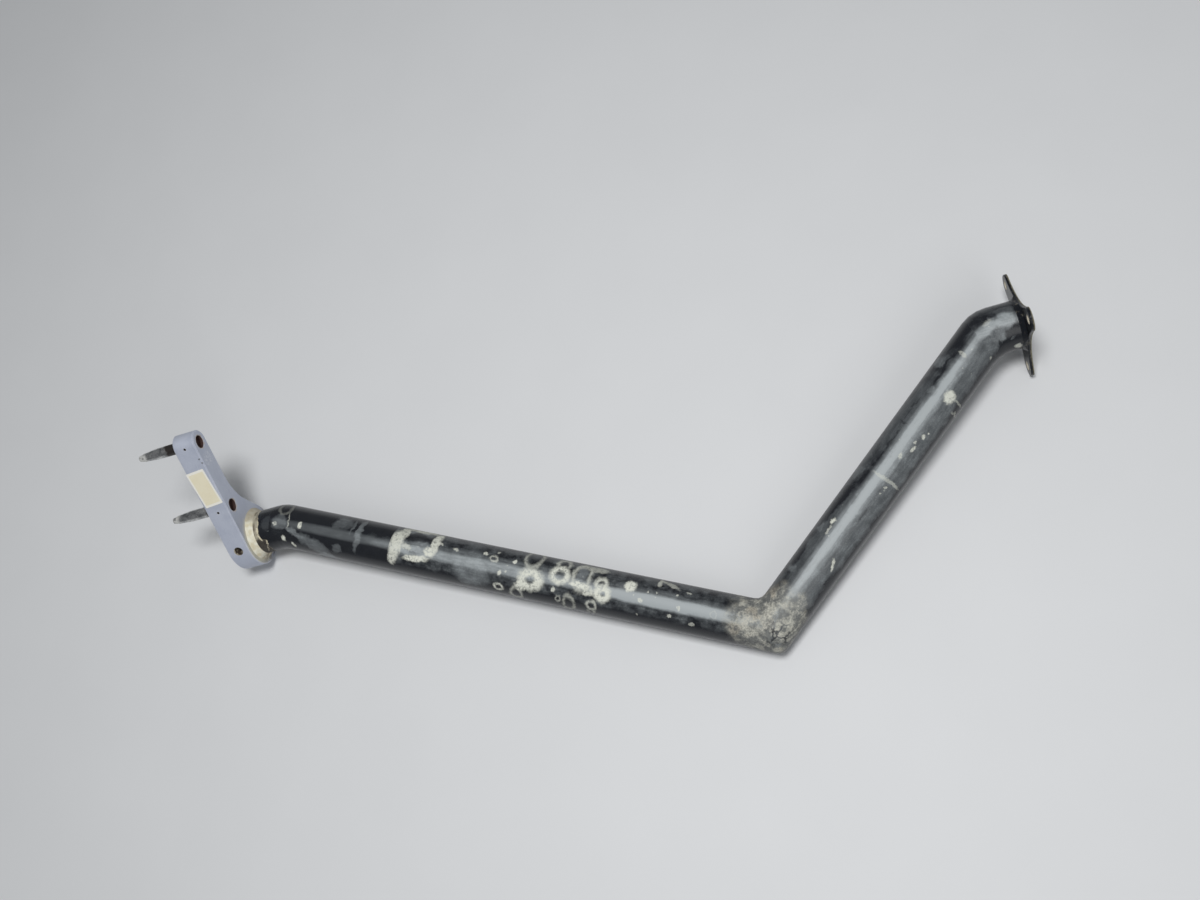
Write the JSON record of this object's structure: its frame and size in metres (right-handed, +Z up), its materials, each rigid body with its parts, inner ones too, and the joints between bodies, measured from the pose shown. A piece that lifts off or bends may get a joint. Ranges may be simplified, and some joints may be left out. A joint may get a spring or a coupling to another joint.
{
  "type": "flap torsion tube",
  "caption": "Cranked steel torsion tube with an eared flange at one end and an offset arm with drive pins at the other.",
  "frame": {"origin": "middle of the flange's bolt circle, on the mating face", "axes": "+X out of the mating face along the torsion axis, +Z up as the part lies, the elbow reaches towards -Y"},
  "size_m": [0.4838, 0.1823, 0.0885],
  "materials": {
    "tube_enamel": "worn black enamel over steel",
    "flange_enamel": "black enamel over steel, chipped at the rims",
    "arm_finish": "satin blue-grey over aluminium",
    "pin_steel": "ground steel with brown stain",
    "lock_pin_steel": "dark spring steel",
    "sealant": "cream sealant",
    "label_paper": "blank cream label, paper-like"
  },
  "bodies": {
    "root": {"flange_plate": "flange_enamel", "flange_weld": "flange_enamel", "flange_stub_tube": "tube_enamel", "inboard_tube": "tube_enamel", "outboard_tube": "tube_enamel", "arm_stub_tube": "tube_enamel", "flange_bend_weld": "tube_enamel", "elbow_weld": "tube_enamel", "arm_bend_weld": "tube_enamel", "drive_arm": "arm_finish", "sealant_fillet": "sealant", "lower_drive_pin": "pin_steel", "lower_lock_pin": "lock_pin_steel", "upper_drive_pin": "pin_steel", "upper_lock_pin": "lock_pin_steel", "arm_label": "label_paper"}
  },
  "joints": []
}
